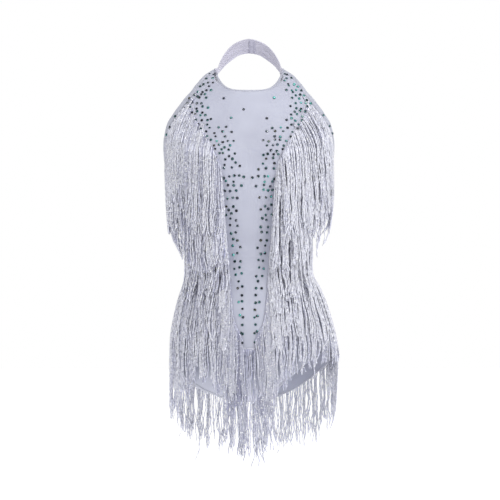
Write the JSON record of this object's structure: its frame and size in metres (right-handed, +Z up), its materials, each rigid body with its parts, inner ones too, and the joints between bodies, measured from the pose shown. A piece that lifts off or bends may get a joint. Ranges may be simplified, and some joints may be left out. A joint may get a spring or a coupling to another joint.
{
  "type": "fringed halter bodysuit",
  "caption": "Sleeveless halter-neck stretch bodysuit with an open back, rows of hanging glitter fringe and rhinestones on a plain centre panel, in its worn form.",
  "frame": {"origin": "inner face of the neck band at the nape, on the centre line, where the wearer's neck holds the garment", "axes": "+Z up, the front faces -Y, +X towards the wearer's left"},
  "size_m": [0.3182, 0.2479, 0.8007],
  "materials": {
    "stretch_cloth": "pale lavender white, smooth stretch knit with a faint satin sheen",
    "fringe": "silver white twisted fringe with glitter thread",
    "rhinestone": "faceted, green and blue rainbow coating"
  },
  "bodies": {
    "root": {"front_panel": "stretch_cloth", "back_panel": "stretch_cloth", "neck_band_left": "stretch_cloth", "neck_band_right": "stretch_cloth", "fringe_shoulder_left": "fringe", "fringe_upper_bust_left": "fringe", "fringe_bust_left": "fringe", "fringe_underbust_left": "fringe", "fringe_waist_left": "fringe", "fringe_hip_left": "fringe", "fringe_shoulder_right": "fringe", "fringe_upper_bust_right": "fringe", "fringe_bust_right": "fringe", "fringe_underbust_right": "fringe", "fringe_waist_right": "fringe", "fringe_hip_right": "fringe", "fringe_centre": "fringe", "fringe_back_waist": "fringe", "fringe_seat": "fringe"}
  },
  "joints": []
}
